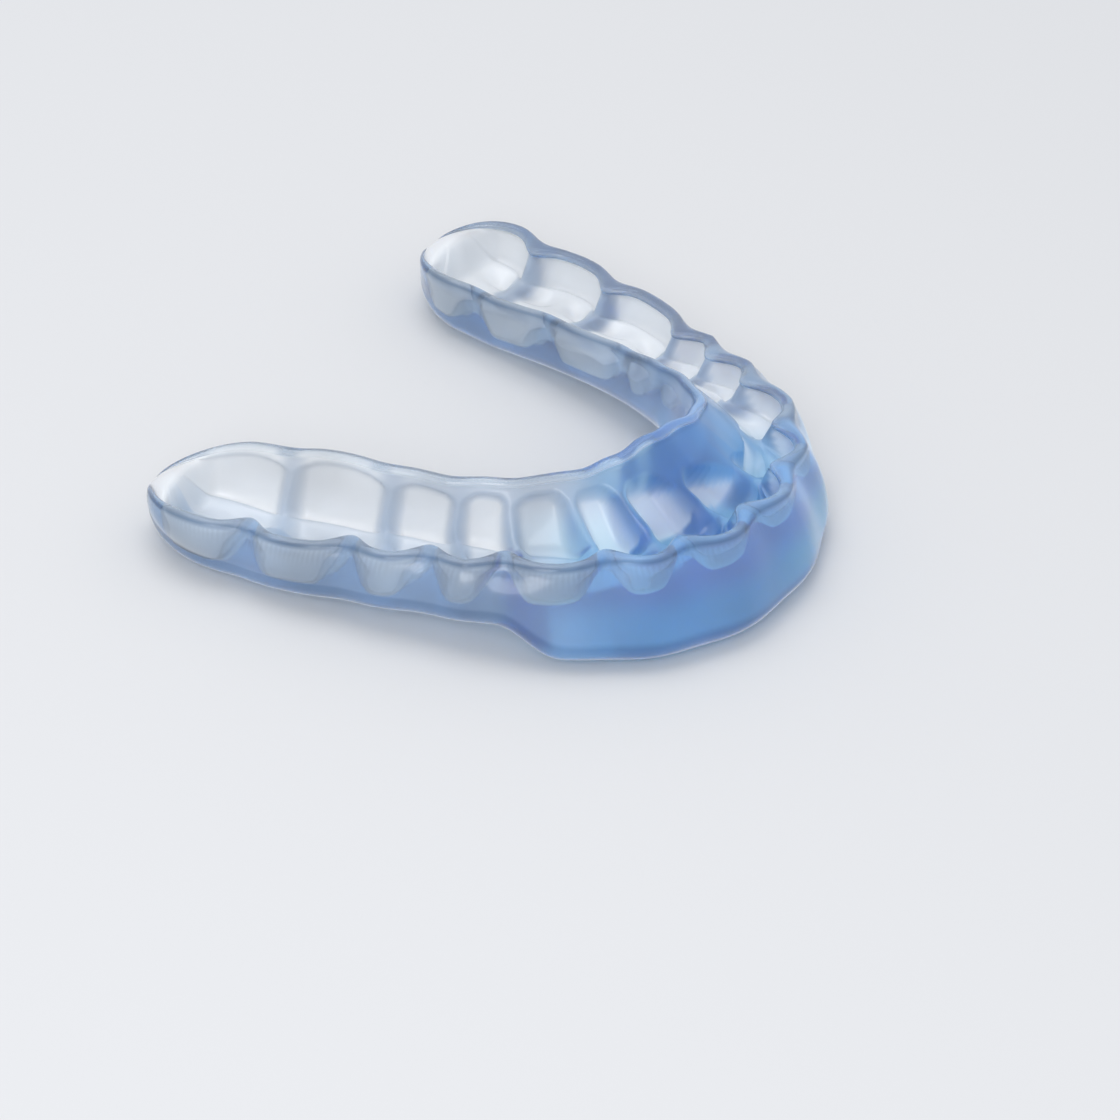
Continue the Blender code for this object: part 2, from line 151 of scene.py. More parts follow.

# Painted light and shade on the cheek wall: a pale U of each tooth, its dark outline and the darker
# bands between the teeth
CHEEK_PAINTED_LIGHT = (1.0, 0.8, 0.7, 0.35, 0.25, 0.9, 1.0, 1.0, 1.0)
CHEEK_WALL_PAINTED_LIGHT = (0.0, 0.0, 0.0, 0.0, 0.0, 0.8, 1.0, 1.0, 1.0)
CHEEK_PAINTED_SHADE_BETWEEN = (0.3, 0.3, 0.3, 0.4, 0.6, 0.7, 0.7, 0.7, 0.2)
CHEEK_PAINTED_SHADE_OUTLINE = (0.3, 0.4, 0.5, 0.4, 0.3, 0.2, 0.0, 0.0, 0.0)
CHEEK_U_FOOT = (0.1, 0.1, 0.1, 0.1, 0.1, 0.2, 0.5, 0.5, 0.5)
CHEEK_U_RISE = (1.0, 1.0, 1.0, 1.0, 1.0, 0.8, 0.25, 0.25, 0.3)
CHEEK_U_POWER = (6.0, 6.0, 6.0, 6.0, 6.0, 5.0, 4.0, 4.0, 5.0)
CHEEK_U_SIDE = 1.1
CHEEK_U_SOFTNESS = 0.3

# Painted light on the pocket floors, arms' ends and pocket side of the lingual rim, and painted
# shade between the teeth on the floors
POCKET_FLOOR_PAINTED_LIGHT = (0.7, 0.7, 0.7, 0.6, 0.7, 0.9, 1.0, 1.0, 1.0)
POCKET_FLOOR_PAINTED_SHADE = (0.2, 0.2, 0.2, 0.25, 0.2, 0.1, 0.0, 0.0, 0.0)
END_PAINTED_LIGHT = 1.0
RIM_PAINTED_LIGHT = (0.8, 0.9, 0.3, 0.0, 0.0, 0.0, 0.2, 0.3, 0.3)
RIM_PAINTED_LIGHT_ANGLE = 120.0

# Thin painted dark lines along the rims and the ramp's lower edge and a thin painted highlight on
# the rims, with angles in degrees round a rim
RIM_PAINTED_SHADE_LINE = 0.9
RIM_PAINTED_SHADE_LINE_ANGLE = 40.0
RIM_PAINTED_SHADE_LINE_WIDTH = 24.0
RIM_PAINTED_HIGHLIGHT = 0.3
RIM_PAINTED_HIGHLIGHT_ANGLE = 25.0
RIM_PAINTED_HIGHLIGHT_WIDTH = 18.0
CORNER_PAINTED_SHADE_LINE = 0.5

# Places where the resin's outside changes its tint
SHOULDER_AT = 0.0165
SHOULDER_REACH = 0.0040
FRONT_LENGTH = 0.0190
FRONT_FADE = 0.0090
WALL_FROM = 0.0075
RAMP_TO = 0.0045

# Tints of the arms, then of the front; the crown tints are painted light, the septum and line tints
# painted shade
OUTSIDE_TINT = (0.58, 0.64, 0.72, 1.0)
SHOULDER_TINT = (0.78, 0.96, 1.0, 1.0)
PAINTED_LIGHT_CROWN_TINT = (0.99, 0.99, 0.99, 1.0)
PAINTED_SHADE_SEPTUM_TINT = (0.62, 0.66, 0.75, 1.0)
PAINTED_SHADE_LINE_TINT = (0.14, 0.22, 0.34, 1.0)
FRONT_WALL_TINT = (0.50, 0.66, 0.86, 1.0)
RAMP_TINT = (0.48, 0.88, 1.0, 1.0)
FRONT_PAINTED_LIGHT_CROWN_TINT = (0.92, 0.95, 0.98, 1.0)
FRONT_PAINTED_SHADE_SEPTUM_TINT = (0.26, 0.46, 0.66, 1.0)

# Resin
RESIN_IOR = 1.40
RESIN_ROUGHNESS = 0.25
LINING_ROUGHNESS = 0.36
RESIN_TRANSMISSION = 0.80
# Transmission on the lobes of painted light, lower so that they show whiter
PAINTED_LIGHT_CROWN_TRANSMISSION = 0.30
RESIN_DEPTH_COLOUR = (0.11, 0.57, 0.93, 1.0)
RESIN_DEPTH_DENSITY = 120.0
COAT_WEIGHT = 0.3
COAT_ROUGHNESS = 0.1
CLOUD_SCALE = 110.0
CLOUD_DETAIL = 1.0
CLOUD_NOISE_RANGE = (0.3, 0.7)
CLOUD_SHADE = 0.12
STRIAE_DEPTH = 0.0018
STRIAE_SPACING = 0.00042
STRIAE_SHADE = 0.24
STRIAE_PATCH_SCALE = 300.0
STRIAE_PATCH_DETAIL = 2.0
STRIAE_DRIFT = 12.0
RIPPLE_SCALE = 250.0
RIPPLE_DETAIL = 0.0
RIPPLE_DEPTH = 0.00015

# Camera, fitted to the photograph: a long lens from the wearer's front right, looking down
CAMERA_AZIMUTH = math.radians(-63.27)
CAMERA_ELEVATION = math.radians(35.79)
CAMERA_ROLL = math.radians(7.4)
CAMERA_DISTANCE = 0.38803
CAMERA_TARGET = (-0.01349, -0.01026, 0.005)
CAMERA_CLIP_START = 0.01
FOCAL_PIXELS = 4363.1
PHOTO_PIXELS = 1120
SENSOR_WIDTH = 36.0

# Stage, with the lamps' places, widths and powers
FLOOR_COLOUR = (0.727, 0.731, 0.746, 1.0)
FLOOR_ROUGHNESS = 0.9
FLOOR_HALF_WIDTH = 2.0
FLOOR_GAP = 0.0004
BACKDROP_COLOUR = (0.93, 0.94, 0.955, 1.0)
SKY_COLOUR = (0.95, 0.97, 1.0, 1.0)
SKY_STRENGTH = 0.72
OVERHEAD_LAMP = ((0.0, 0.15, 0.60), 0.5, 1.15)
SIDE_LAMP = ((-0.45, -0.15, 0.35), 0.3, 1.0)
LAMP_TARGET = (0.0, 0.0, 0.0)


def clamp(value, low, high):
    return max(low, min(high, value))


def smooth(value):
    """Ease from 0 to 1 as the value goes from 0 to 1."""
    value = clamp(value, 0.0, 1.0)
    return value * value * (3.0 - 2.0 * value)


def mix(first, second, share):
    return first + (second - first) * share


def zone_value(values, s):
    """Smooth curve through the zone values, with the middle zone at the foremost point."""
    row = (2.0 * values[0] - values[1],) + values + (2.0 * values[-1] - values[-2],)
    arm = RIGHT_ARM_LENGTH if s < 0.0 else LEFT_ARM_LENGTH
    place = clamp(0.5 + 0.5 * s / arm, 0.0, 1.0) * (len(values) - 1)
    index = min(int(place), len(values) - 2)
    part = place - index
    a, b, c, d = row[index:index + 4]
    bend = 2 * a - 5 * b + 4 * c - d
    return b + 0.5 * part * (c - a + part * (bend + part * (3 * (b - c) + d - a)))


class Arch:
    """Plan curve of the row of teeth, with its outward direction."""

    def __init__(self):
        count = int(round((RIGHT_ARM_LENGTH + LEFT_ARM_LENGTH) / ARCH_STEP)) + 1
        self.along = np.linspace(-RIGHT_ARM_LENGTH, LEFT_ARM_LENGTH, count)
        heading = [self.heading(s) for s in self.along]
        step = self.along[1] - self.along[0]
        self.x = self.running_sum(np.cos(heading), step)
        self.y = self.running_sum(np.sin(heading), step)
        self.right_reach = self.y[0]
        self.left_reach = self.y[-1]

    def heading(self, s):
        if s < 0.0:
            turn = math.tanh(RIGHT_TURN_TIGHTNESS * s / RIGHT_ARM_LENGTH)
            return RIGHT_ARM_HEADING * turn / math.tanh(RIGHT_TURN_TIGHTNESS)
        turn = math.tanh(LEFT_TURN_TIGHTNESS * s / LEFT_ARM_LENGTH)
        return LEFT_ARM_HEADING * turn / math.tanh(LEFT_TURN_TIGHTNESS)

    def running_sum(self, slopes, step):
        steps = (slopes[1:] + slopes[:-1]) * 0.5 * step
        total = np.concatenate(([0.0], np.cumsum(steps)))
        return total - np.interp(0.0, self.along, total)

    def point(self, s, outward, up):
        heading = self.heading(s)
        x = np.interp(s, self.along, self.x) + outward * math.sin(heading)
        y = np.interp(s, self.along, self.y) - outward * math.cos(heading)
        return (float(x), float(y), up)

    def base_height(self, s):
        """Height of the arms' underside, which falls from the front to the resting pads."""
        reach = self.right_reach if s < 0.0 else self.left_reach
        y = float(np.interp(s, self.along, self.y))
        return RAMP_DEPTH * clamp(1.0 - y / (reach - ARM_PAD_LENGTH), 0.0, 1.0)


def tooth_edges():
    """Start and end of each tooth along the arch, with its number from the midline."""
    edges = []
    for side, widths in ((-1, RIGHT_TEETH), (1, LEFT_TEETH)):
        start = 0.0
        for number, width in enumerate(widths[:-1]):
            edges.append((start, start + side * width, number))
            start += side * width
        edges.append((start, start + side * (widths[-1] + END_WALL), len(widths) - 1))
    return edges


def tooth_at(teeth, s):
    """Distance to the nearer septum, position from -1 to 1 across the tooth, and its number."""
    beyond = [abs(s - 0.5 * (start + end)) - 0.5 * abs(end - start) for start, end, number in teeth]
    start, end, number = teeth[beyond.index(min(beyond))]
    half = 0.5 * abs(end - start)
    across = clamp((s - 0.5 * (start + end)) / half, -1.0, 1.0)
    return half * (1.0 - abs(across)), across, number


def from_tip(s):
    """Distance along the arch to the nearer arm's tip."""
    return s + RIGHT_ARM_LENGTH if s < 0.0 else LEFT_ARM_LENGTH - s


def bent(start, end, push, count, flatness=2):
    """Points after start up to end on a line bowed sideways by push."""
    points = []
    length = math.hypot(end[0] - start[0], end[1] - start[1])
    side = ((end[1] - start[1]) / length, -(end[0] - start[0]) / length)
    for index in range(1, count + 1):
        share = index / count
        bow = push * (1.0 - abs(2.0 * share - 1.0) ** flatness)
        out, up = mix(start[0], end[0], share), mix(start[1], end[1], share)
        points.append((out + side[0] * bow, up + side[1] * bow))
    return points


def rounded(centre, radii, start, end, count):
    """Points of an elliptical arc after its start, angles in degrees."""
    points = []
    for index in range(1, count + 1):
        angle = math.radians(mix(start, end, index / count))
        out, up = radii[0] * math.cos(angle), radii[1] * math.sin(angle)
        points.append((centre[0] + out, centre[1] + up))
    return points


def floor_profile(share, across, number):
    """Height of the biting imprint above the pocket floor, share running from cheek to tongue."""
    if number < TEETH_WITH_ONE_EDGE:
        return EDGE_GROOVE * (2.0 * share - 1.0) ** 2
    pits = math.sin(2.0 * math.pi * share) ** 2
    if number >= TEETH_BEFORE_MOLARS:
        pits *= 1.0 - MOLAR_CROSS_RIDGE * math.cos(math.pi * across) ** 2
    return CUSP_RIDGE * (1.0 - pits)


def profile(buccal_edge, cheek, tongue, lingual_edge, buccal_bow, lingual_bow):
    """Inner surface: down the buccal wall, over the floor and up the lingual wall."""
    points = bent(buccal_edge, cheek, buccal_bow, WALL_POINTS, WALL_BOW_FLATNESS)
    points += bent(cheek, tongue, 0.0, FLOOR_POINTS)
    points += bent(tongue, lingual_edge, lingual_bow, LINGUAL_POINTS, WALL_BOW_FLATNESS)
    return points


def imprint_profile(arch, s, buccal_edge, lingual_edge):
    """Inner surface at a tooth: deep, with walls bowed outwards."""
    floor = arch.base_height(s) + FLOOR_THICKNESS
    cheek = (buccal_edge[0] - zone_value(BUCCAL_WALL_SLOPE_RUN, s), floor)
    tongue = (lingual_edge[0] + zone_value(LINGUAL_WALL_SLOPE_RUN, s), floor)
    lingual_bow = -zone_value(LINGUAL_WALL_BOW, s)
    return profile(buccal_edge, cheek, tongue, lingual_edge, -BUCCAL_WALL_BOW, lingual_bow)


def septum_profile(imprint, buccal_edge, lingual_edge):
    """Inner surface between two teeth: a shallower and narrower trough."""
    cheek, tongue = imprint[WALL_POINTS - 1], imprint[WALL_POINTS + FLOOR_POINTS - 1]
    floor = cheek[1] + SEPTUM_HEIGHT
    buccal_share = SEPTUM_HEIGHT / (buccal_edge[1] - cheek[1])
    lingual_share = SEPTUM_HEIGHT / (lingual_edge[1] - tongue[1])
    cheek_out = mix(cheek[0], buccal_edge[0], buccal_share) - SEPTUM_ON_BUCCAL_WALL
    tongue_out = mix(tongue[0], lingual_edge[0], lingual_share) + SEPTUM_ON_LINGUAL_WALL
    middle = 0.5 * (cheek_out + tongue_out)
    cheek_out = max(cheek_out, middle + NARROWEST_FLOOR)
    tongue_out = min(tongue_out, middle - NARROWEST_FLOOR)
    return profile(buccal_edge, (cheek_out, floor), (tongue_out, floor), lingual_edge, 0.0, 0.0)


def septum_shift(s, point, buccal_edge, lingual_edge):
    """How far a septum is displaced along the arch: not at the cheek, most on the lingual wall."""
    across = clamp((buccal_edge[0] - point[0]) / (buccal_edge[0] - lingual_edge[0]), 0.0, 1.0)
    up_wall = clamp(across / SHIFT_FULL_ACROSS - 1.0, 0.0, 1.0)
    shift = mix(zone_value(SEPTUM_SHIFT_AT_FLOOR, s), zone_value(SEPTUM_SHIFT_AT_RIM, s), up_wall)
    return shift * smooth(across / SHIFT_FULL_ACROSS)


def septum_reach(s, point, floor, buccal_edge, lingual_edge):
    """How far a septum spreads along the arch: on the walls most at the floor, least at the rim."""
    middle = 0.5 * (lingual_edge[0] + buccal_edge[0])
    if point[0] > middle:
        edge, foot, rim = buccal_edge, CHEEK_FOOT_REACH, CHEEK_RIM_REACH
    else:
        edge, foot, rim = lingual_edge, TONGUE_FOOT_REACH, SEPTUM_REACH
    height = clamp((point[1] - floor) / (edge[1] - floor), 0.0, 1.0)
    on_wall = mix(zone_value(foot, s), zone_value(rim, s), height)
    towards_wall = smooth((point[0] - middle) / (edge[0] - middle))
    return mix(zone_value(SEPTUM_REACH, s), on_wall, towards_wall)


def cheek_painted_light_and_shade(s, up, floor, top, across):
    """Painted light and shade on a cheek wall: a pale U, the darker band outside it and the dark
    line between them.
    """
    height = clamp((up - floor) / (top - floor), 0.0, 1.0)
    side = CHEEK_U_SIDE * abs(across) ** zone_value(CHEEK_U_POWER, s)
    reach_up = zone_value(CHEEK_U_FOOT, s) + zone_value(CHEEK_U_RISE, s) * height
    inside = smooth((reach_up - side) / CHEEK_U_SOFTNESS)
    outline = 4.0 * inside * (1.0 - inside) * zone_value(CHEEK_PAINTED_SHADE_OUTLINE, s)
    between = (1.0 - inside) * zone_value(CHEEK_PAINTED_SHADE_BETWEEN, s)
    pale = max(inside * zone_value(CHEEK_PAINTED_LIGHT, s), zone_value(CHEEK_WALL_PAINTED_LIGHT, s) * (1.0 - between))
    return pale, between, outline


def tongue_painted_light_and_shade(s, below_margin, septum_distance, number):
    """Painted light and shade on a lingual wall: pale imprints that reach up to the rim at the
    molars, darker between the teeth.
    """
    reach_up = mix(smooth(below_margin), 1.0, zone_value(RIM_PAINTED_LIGHT, s))
    outside = 1.0 - smooth(septum_distance / CROWN_PAINTED_LIGHT_REACH) * reach_up
    between = outside * zone_value(TONGUE_PAINTED_SHADE_BETWEEN, s)
    return (1.0 - between) * CROWN_PAINTED_LIGHT[number], between, 0.0


def relief(teeth, s, point, floor, buccal_edge, lingual_edge):
    """Share of the septum at a point, its painted light and shade, the place across the tooth and
    its number.
    """
    unshifted = s - septum_shift(s, point, buccal_edge, lingual_edge)
    septum_distance, across, number = tooth_at(teeth, unshifted)
    arched = CROWN_MARGIN_ARCH * abs(across) ** CROWN_MARGIN_FLATNESS
    margin = lingual_edge[1] - zone_value(CROWN_BELOW_RIM, s) - arched
    if point[0] > 0.5 * (lingual_edge[0] + buccal_edge[0]):
        below_margin = 1.0
        tones = cheek_painted_light_and_shade(s, point[1], floor, buccal_edge[1], across)
    else:
        below_margin = smooth((margin - point[1]) / CROWN_MARGIN_REACH)
        tones = tongue_painted_light_and_shade(s, (margin - point[1]) / CROWN_PAINTED_LIGHT_MARGIN, septum_distance, number)
    reach = septum_reach(s, point, floor, buccal_edge, lingual_edge)
    share = 1.0 - smooth(septum_distance / reach) * below_margin
    return share, tones, across, number


def pocket(arch, teeth, s, lingual_edge, buccal_edge):
    """Inner surface with the imprint of the teeth, and the painted light and shade at each point.
    """
    imprint = imprint_profile(arch, s, buccal_edge, lingual_edge)
    septum = septum_profile(imprint, buccal_edge, lingual_edge)
    floor = arch.base_height(s) + FLOOR_THICKNESS
    floor_painted_light, floor_painted_shade = zone_value(POCKET_FLOOR_PAINTED_LIGHT, s), zone_value(POCKET_FLOOR_PAINTED_SHADE, s)
    points, tones = [], []
    for index, (deep, high) in enumerate(zip(imprint, septum)):
        share, tone, across, number = relief(teeth, s, deep, floor, buccal_edge, lingual_edge)
        out = mix(deep[0], high[0], share)
        up = mix(deep[1], high[1], share)
        if WALL_POINTS - 1 <= index < WALL_POINTS + FLOOR_POINTS:
            place = (index + 1 - WALL_POINTS) / FLOOR_POINTS
            up += (1.0 - share) * floor_profile(place, across, number)
            # Pocket floors: painted light, with painted shade between the teeth
            tone = (tone[0] * floor_painted_light, max(tone[1], floor_painted_shade), 0.0)
        points.append((out, up))
        tones.append(tone)
    return closed_towards_end(points, buccal_edge, lingual_edge, s), tones


def kept_thick(points, rim, foot):
    """The inner surface, held off the line of the outside on the lingual side."""
    result = []
    for out, up in points:
        share = clamp((rim[1] - up) / (rim[1] - foot[1]), 0.0, 1.0)
        result.append((max(out, mix(rim[0], foot[0], share) + THINNEST_WALL), up))
    return result


def closed_towards_end(points, buccal_edge, lingual_edge, s):
    """The pocket's surface, raised to the rims' level behind the last tooth."""
    opening = smooth((from_tip(s) - END_WALL) / END_SLOPE)
    result = []
    for index, point in enumerate(points):
        place = (index + 1) / len(points)
        crown = 0.5 * RIM_THICKNESS * (1.0 - (2.0 * place - 1.0) ** END_LID_FLATNESS)
        lid_out = mix(buccal_edge[0], lingual_edge[0], place)
        lid_up = mix(buccal_edge[1], lingual_edge[1], place) + crown
        result.append((mix(lid_out, point[0], opening), mix(lid_up, point[1], opening)))
    return result


def rounded_off(points, s, middle_out, middle_up):
    """The outline, drawn in towards its middle where the arm's end rounds off."""
    share = clamp(from_tip(s) / END_ROUNDING, 0.0, 1.0)
    width = math.sqrt(1.0 - (1.0 - share) ** 2)
    height = mix(1.0, width, END_HEIGHT_ROUNDING)
    return [(mix(middle_out, out, width), mix(middle_up, up, height)) for out, up in points]


def outside_painted_line_and_striae(cheek_wall, top):
    """Tones from the lingual wall down, under the tray and up the cheek wall: a painted dark line
    round the lower cheek-side corner and the printing lines below the cheek rim.
    """
    tones = [NO_TONES] * (WALL_POINTS + CORNER_POINTS + UNDERSIDE_POINTS)
    # Painted dark line round the lower corner on the cheek side
    tones += [(0.0, 0.0, CORNER_PAINTED_SHADE_LINE, 0.0, 0.0)] * CORNER_POINTS
    for _, up in cheek_wall:
        tones.append((0.0, 0.0, 0.0, 0.0, smooth(1.0 - (top - up) / STRIAE_DEPTH)))
    return tones


def rim_painted_light_and_shade(lingual, pale):
    """Painted light and shade over a rim: painted light towards the pocket, with a thin painted
    dark line and a thin painted highlight.
    """
    tones = []
    for index in range(1, RIM_POINTS + 1):
        angle = 180.0 * index / RIM_POINTS
        from_line = (180.0 - angle if lingual else angle) - RIM_PAINTED_SHADE_LINE_ANGLE
        inner_side = smooth(1.0 - angle / RIM_PAINTED_LIGHT_ANGLE)
        line = RIM_PAINTED_SHADE_LINE * math.exp(-(from_line / RIM_PAINTED_SHADE_LINE_WIDTH) ** 2)
        from_gleam = (angle if lingual else 180.0 - angle) - RIM_PAINTED_HIGHLIGHT_ANGLE
        gleam = RIM_PAINTED_HIGHLIGHT * math.exp(-(from_gleam / RIM_PAINTED_HIGHLIGHT_WIDTH) ** 2)
        tones.append((max(pale * inner_side, gleam), 0.0, line, 0.0, 0.0))
    return tones


def section(arch, teeth, s):
    """Closed outline across the arch, from the lingual rim down and round, with its tones."""
    septum_distance = tooth_at(teeth, s)[0]
    lobe = 1.0 - math.exp(-(septum_distance / SCALLOP_OUTSIDE_REACH) ** 2)
    base = arch.base_height(s)
    ramp_length = RIGHT_RAMP_LENGTH if s < 0.0 else LEFT_RAMP_LENGTH
    ramp = smooth(0.5 + 0.5 * (ramp_length - abs(s)) / RAMP_STEP)
    underside = base * (1.0 - ramp)
    lingual_top = base + zone_value(LINGUAL_RIM_HEIGHT, s)
    buccal_top = base + zone_value(BUCCAL_RIM_HEIGHT, s)
    lingual_rim = -zone_value(LINGUAL_RIM_OUT, s) - LINGUAL_FLUTE * lobe
    lingual_foot = -zone_value(LINGUAL_FOOT_OUT, s)
    buccal_rim = zone_value(BUCCAL_RIM_OUT, s) + SCALLOP_ON_BUCCAL_RIM * (lobe - 1.0)
    buccal_bulge = zone_value(BUCCAL_BULGE_OUT, s) + SCALLOP_ON_BUCCAL_BULGE * (lobe - 1.0)
    rim = 0.5 * RIM_THICKNESS
    start = (lingual_rim, lingual_top - rim)
    foot = (lingual_foot, underside + CORNER_RADIUS)
    points = bent(start, foot, 0.0, WALL_POINTS)
    points += rounded((lingual_foot + CORNER_RADIUS, underside + CORNER_RADIUS),
                      (CORNER_RADIUS, CORNER_RADIUS), 180.0, 270.0, CORNER_POINTS)
    corner = (buccal_bulge - CORNER_RADIUS, underside + CORNER_RADIUS)
    points += bent(points[-1], (corner[0], underside), 0.0, UNDERSIDE_POINTS)
    points += rounded(corner, (CORNER_RADIUS, CORNER_RADIUS), 270.0, 360.0, CORNER_POINTS)
    points += bent(points[-1], (buccal_rim, buccal_top - rim), OUTER_BUCCAL_BOW, WALL_POINTS)
    tones = outside_painted_line_and_striae(points[-WALL_POINTS:], buccal_top - rim)

    inset = SCALLOP_INSIDE * math.exp(-(septum_distance / SCALLOP_REACH) ** 2)
    buccal_width = RIM_THICKNESS + inset
    points += rounded((buccal_rim - 0.5 * buccal_width, buccal_top - rim),
                      (0.5 * buccal_width, rim), 0.0, 180.0, RIM_POINTS)
    # Cheek rim: painted dark line and painted highlight
    tones += rim_painted_light_and_shade(False, 0.0)

    lingual_edge = (lingual_rim + RIM_THICKNESS, lingual_top - rim)
    inner, inner_tones = pocket(arch, teeth, s, lingual_edge, points[-1])
    opening = smooth((from_tip(s) - END_WALL) / END_SLOPE)
    points += kept_thick(inner, start, foot)
    # Painted light on the arms' ends, blended into the pocket's painted light and shade
    for crown, between, line in inner_tones:
        tones.append((mix(END_PAINTED_LIGHT, crown, opening), opening * between, opening * line, 1.0, 0.0))

    points += rounded((lingual_rim + rim, lingual_top - rim), (rim, rim), 0.0, 180.0, RIM_POINTS)
    # Painted light on the pocket side of the lingual rim
    pale = zone_value(RIM_PAINTED_LIGHT, s) * smooth(septum_distance / CROWN_PAINTED_LIGHT_REACH) * opening
    tones += rim_painted_light_and_shade(True, pale)
    middle_out = 0.5 * (lingual_foot + buccal_bulge)
    middle_up = mix(underside, buccal_top, TIP_HEIGHT_SHARE)
    return rounded_off(points, s, middle_out, middle_up), tones


def ring_places():
    """Evenly spaced sections, closer together where the arms' ends round off."""
    inner = np.arange(-RIGHT_ARM_LENGTH + END_WALL, LEFT_ARM_LENGTH - END_WALL, RING_STEP)
    places = [float(s) for s in inner]
    for index in range(1, END_RINGS + 1):
        angle = LAST_RING_ANGLE * index / END_RINGS
        distance = END_WALL * (1.0 - math.sin(angle))
        places += [distance - RIGHT_ARM_LENGTH, LEFT_ARM_LENGTH - distance]
    return sorted(places)


def loft(rings):
    """Vertices and faces of a closed body through the rings, capped at both ends."""
    count = len(rings[0])
    vertices = [point for ring in rings for point in ring]
    faces = []
    for row in range(len(rings) - 1):
        for column in range(count):
            following = (column + 1) % count
            faces.append((row * count + column, (row + 1) * count + column,
                          (row + 1) * count + following, row * count + following))
    for row, turn in ((0, -1), (len(rings) - 1, 1)):
        ring = rings[row]
        centre = tuple(sum(point[axis] for point in ring) / count for axis in range(3))
        hub = len(vertices)
        vertices.append(centre)
        for column in range(count):
            pair = (row * count + column, row * count + (column + 1) % count)
            faces.append((hub,) + pair[::-turn])
    return vertices, faces


def fitted(vertices):
    """Vertices moved and scaled by a hair so that the body fills the frame's box."""
    points = np.array(vertices)
    low, high = points.min(axis=0), points.max(axis=0)
    box_low, box_high = np.array(cad_low), np.array(cad_high)
    scale = np.minimum((box_high - box_low) / (high - low), 1.0)
    return (points - 0.5 * (low + high)) * scale + 0.5 * (box_low + box_high)


def attribute(nodes, name):
    """A tone kept at the points of the mesh."""
    share = nodes.new("ShaderNodeAttribute")
    share.attribute_name = name
    return share.outputs["Fac"]


def noise(nodes, links, coordinates, scale, detail):
    """Soft random pattern over the object."""
    pattern = nodes.new("ShaderNodeTexNoise")
    pattern.inputs["Scale"].default_value = scale
    pattern.inputs["Detail"].default_value = detail
    links.new(coordinates.outputs["Object"], pattern.inputs["Vector"])
    return pattern.outputs["Fac"]


def ranged(nodes, links, value, before, after, easing="LINEAR"):
    """The value, with one range stretched to another."""
    stretch = nodes.new("ShaderNodeMapRange")
    stretch.interpolation_type = easing
    for socket, number in zip(("From Min", "From Max", "To Min", "To Max"), before + after):
        stretch.inputs[socket].default_value = number
    links.new(value, stretch.inputs["Value"])
    return stretch.outputs["Result"]


def calculated(nodes, links, operation, first, second):
    """Result of a calculation on two values, each a number or another node's output."""
    step = nodes.new("ShaderNodeMath")
    step.operation = operation
    for socket, value in zip(step.inputs, (first, second)):
        if isinstance(value, float):
            socket.default_value = value
        else:
            links.new(value, socket)
    return step.outputs["Value"]


def blended(nodes, links, share, below, above):
    """Colour that goes from one to the other, each a colour or another node's output."""
    blend = nodes.new("ShaderNodeMix")
    blend.data_type = "RGBA"
    links.new(share, blend.inputs["Factor"])
    for socket, colour in (("A", below), ("B", above)):
        if isinstance(colour, tuple):
            blend.inputs[socket].default_value = colour
        else:
            links.new(colour, blend.inputs[socket])
    return blend.outputs["Result"]


def tints_with_painted_light_and_shade(nodes, links, outside, crown, septum):
    """Colour of the outside, with painted light on the teeth's imprints, painted shade on the septa
    and painted dark lines.
    """
    lined = blended(nodes, links, attribute(nodes, "crown"), outside, crown)
    between = blended(nodes, links, attribute(nodes, "septum"), lined, septum)
    return blended(nodes, links, attribute(nodes, "line"), between, PAINTED_SHADE_LINE_TINT)


def striae(nodes, links, coordinates):
    """Fine upright lines left by the printing, in uneven patches just below the cheek rim."""
    patch = noise(nodes, links, coordinates, STRIAE_PATCH_SCALE, STRIAE_PATCH_DETAIL)
    drift = calculated(nodes, links, "MULTIPLY", patch, STRIAE_DRIFT)
    patches = calculated(nodes, links, "MULTIPLY", patch, patch)
    turns_per_metre = 2.0 * math.pi / STRIAE_SPACING
    turns = calculated(nodes, links, "MULTIPLY", attribute(nodes, "along"), turns_per_metre)
    wave = calculated(nodes, links, "SINE", calculated(nodes, links, "ADD", turns, drift), 0.0)
    patchy = calculated(nodes, links, "MULTIPLY", attribute(nodes, "striae"), patches)
    return calculated(nodes, links, "MULTIPLY", wave, patchy)


def clouded(nodes, links, coordinates, colour):
    """The colour, a little paler and deeper in soft patches, with the printing lines in it."""
    cloud = noise(nodes, links, coordinates, CLOUD_SCALE, CLOUD_DETAIL)
    shades = (1.0 - CLOUD_SHADE, 1.0 + CLOUD_SHADE)
    shade = ranged(nodes, links, cloud, CLOUD_NOISE_RANGE, shades)
    lines = calculated(nodes, links, "MULTIPLY", striae(nodes, links, coordinates), STRIAE_SHADE)
    scaled = nodes.new("ShaderNodeVectorMath")
    scaled.operation = "SCALE"
    links.new(colour, scaled.inputs["Vector"])
    links.new(calculated(nodes, links, "ADD", shade, lines), scaled.inputs["Scale"])
    capped = nodes.new("ShaderNodeVectorMath")
    capped.operation = "MINIMUM"
    capped.inputs[1].default_value = (1.0, 1.0, 1.0)
    links.new(scaled.outputs["Vector"], capped.inputs[0])
    return capped.outputs["Vector"]


